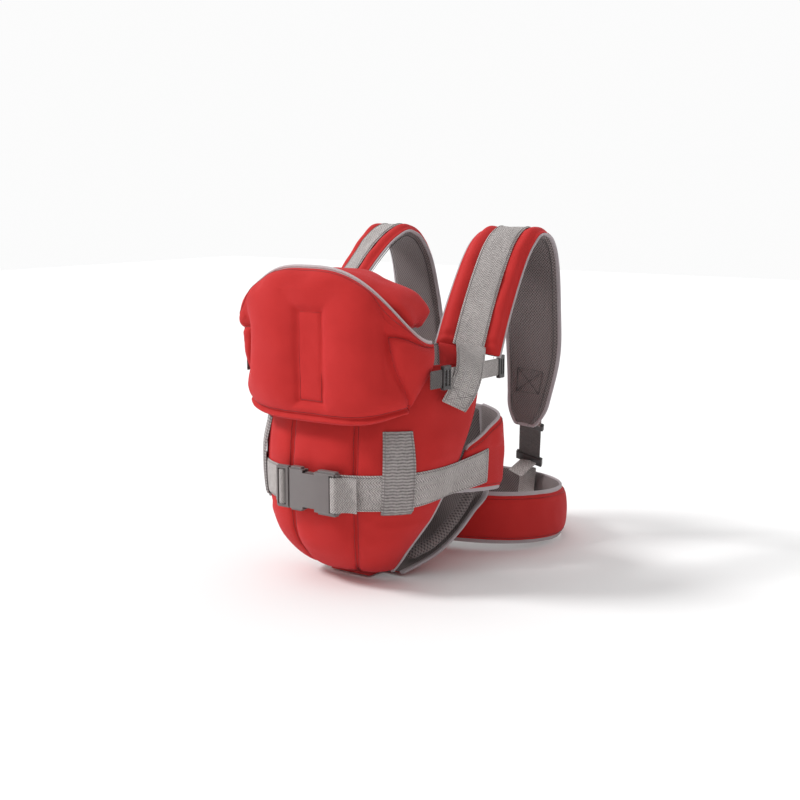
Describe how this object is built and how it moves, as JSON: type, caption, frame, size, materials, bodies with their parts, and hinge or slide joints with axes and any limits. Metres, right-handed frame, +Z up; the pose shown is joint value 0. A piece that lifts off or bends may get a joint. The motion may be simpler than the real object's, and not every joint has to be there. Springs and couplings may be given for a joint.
{
  "type": "baby carrier backpack",
  "caption": "Soft front baby carrier with padded pouch, head support, shoulder straps, side-release front buckle and waist belt.",
  "frame": {"origin": "on the ground, below the middle of the carrier's whole width and depth", "axes": "+Z up, -Y towards the front of the pouch, +Y towards the wearer's back, +X towards the end named right"},
  "size_m": [0.3678, 0.5498, 0.4946],
  "materials": {
    "red_fabric": "matte brushed polyester over foam",
    "webbing": "woven polyester webbing",
    "rear_webbing": "dark woven webbing",
    "spacer_mesh": "knitted spacer mesh",
    "trim": "bias binding and piping",
    "buckle_plastic": "moulded acetal, fine grain",
    "black_plastic": "moulded nylon"
  },
  "bodies": {
    "carrier": {"back_panel": "red_fabric", "back_panel_lining": "spacer_mesh", "belt_anchor_left": "webbing", "belt_anchor_right": "webbing", "belt_bridge": "red_fabric", "buckle_socket": "buckle_plastic", "front_panel": "red_fabric", "front_panel_lining": "spacer_mesh", "head_strap_webbing_left": "webbing", "head_strap_webbing_right": "webbing", "ladder_lock_left": "black_plastic", "ladder_lock_right": "black_plastic", "leg_roll_left": "spacer_mesh", "leg_roll_right": "spacer_mesh", "pouch_base": "red_fabric", "rear_webbing_left": "rear_webbing", "rear_webbing_right": "rear_webbing", "shoulder_anchor_left": "webbing", "shoulder_anchor_right": "webbing", "shoulder_pad_left": "red_fabric", "shoulder_pad_lining_left": "spacer_mesh", "shoulder_pad_lining_right": "spacer_mesh", "shoulder_pad_right": "red_fabric", "shoulder_webbing_left": "webbing", "shoulder_webbing_right": "webbing", "side_wing_left": "red_fabric", "side_wing_lining_left": "spacer_mesh", "side_wing_lining_right": "spacer_mesh", "side_wing_right": "red_fabric", "waist_belt_lining": "spacer_mesh", "waist_belt_pad": "red_fabric", "waist_webbing_left": "webbing", "waist_webbing_right": "webbing", "webbing_keeper_left": "webbing", "webbing_keeper_right": "webbing"},
    "head_support": {"head_support_panel": "red_fabric", "head_support_lining": "spacer_mesh", "head_support_piping": "trim", "head_support_crown": "red_fabric", "head_strap_loop_left": "trim", "head_strap_loop_right": "trim", "head_strap_slider_left": "black_plastic", "head_strap_slider_right": "black_plastic"},
    "buckle_prong": {"buckle_prong": "buckle_plastic"},
    "latch_upper": {"latch_arm_upper": "buckle_plastic"},
    "latch_lower": {"latch_arm_lower": "buckle_plastic"},
    "head_keeper_right": {"head_strap_keeper_right": "black_plastic"},
    "head_keeper_left": {"head_strap_keeper_left": "black_plastic"},
    "rear_keeper_right": {"rear_keeper_right": "black_plastic"},
    "rear_keeper_left": {"rear_keeper_left": "black_plastic"}
  },
  "joints": [
    {"name": "head_support_fold", "type": "hinge", "parent": "carrier", "child": "head_support", "pos_m": [0, -0.26425, 0.222], "axis": [1, 0, 0], "range_deg": [0, 25], "deforming": ["head_strap_webbing_right", "head_strap_webbing_left"]},
    {"name": "waist_buckle_release", "type": "slide", "parent": "carrier", "child": "buckle_prong", "axis": [-1, 0, 0], "range_m": [0, 0.022]},
    {"name": "latch_upper_squeeze", "type": "hinge", "parent": "buckle_prong", "child": "latch_upper", "pos_m": [-0.0285, -0.26775, 0.1575], "axis": [0, 1, 0], "range_deg": [0, 5], "stiffness_Nm_per_rad": 0.2},
    {"name": "latch_lower_squeeze", "type": "hinge", "parent": "buckle_prong", "child": "latch_lower", "pos_m": [-0.0285, -0.26775, 0.1245], "axis": [0, -1, 0], "range_deg": [0, 5], "stiffness_Nm_per_rad": 0.2},
    {"name": "head_keeper_right_slide", "type": "slide", "parent": "carrier", "child": "head_keeper_right", "axis": [0, -1, 0], "range_m": [0, 0.02]},
    {"name": "head_keeper_left_slide", "type": "slide", "parent": "carrier", "child": "head_keeper_left", "axis": [0, -1, 0], "range_m": [0, 0.02]},
    {"name": "rear_keeper_right_slide", "type": "slide", "parent": "carrier", "child": "rear_keeper_right", "axis": [-0.3482, 0.5742, -0.7409], "range_m": [0, 0.06]},
    {"name": "rear_keeper_left_slide", "type": "slide", "parent": "carrier", "child": "rear_keeper_left", "axis": [0.3482, 0.5742, -0.7409], "range_m": [0, 0.06]}
  ]
}
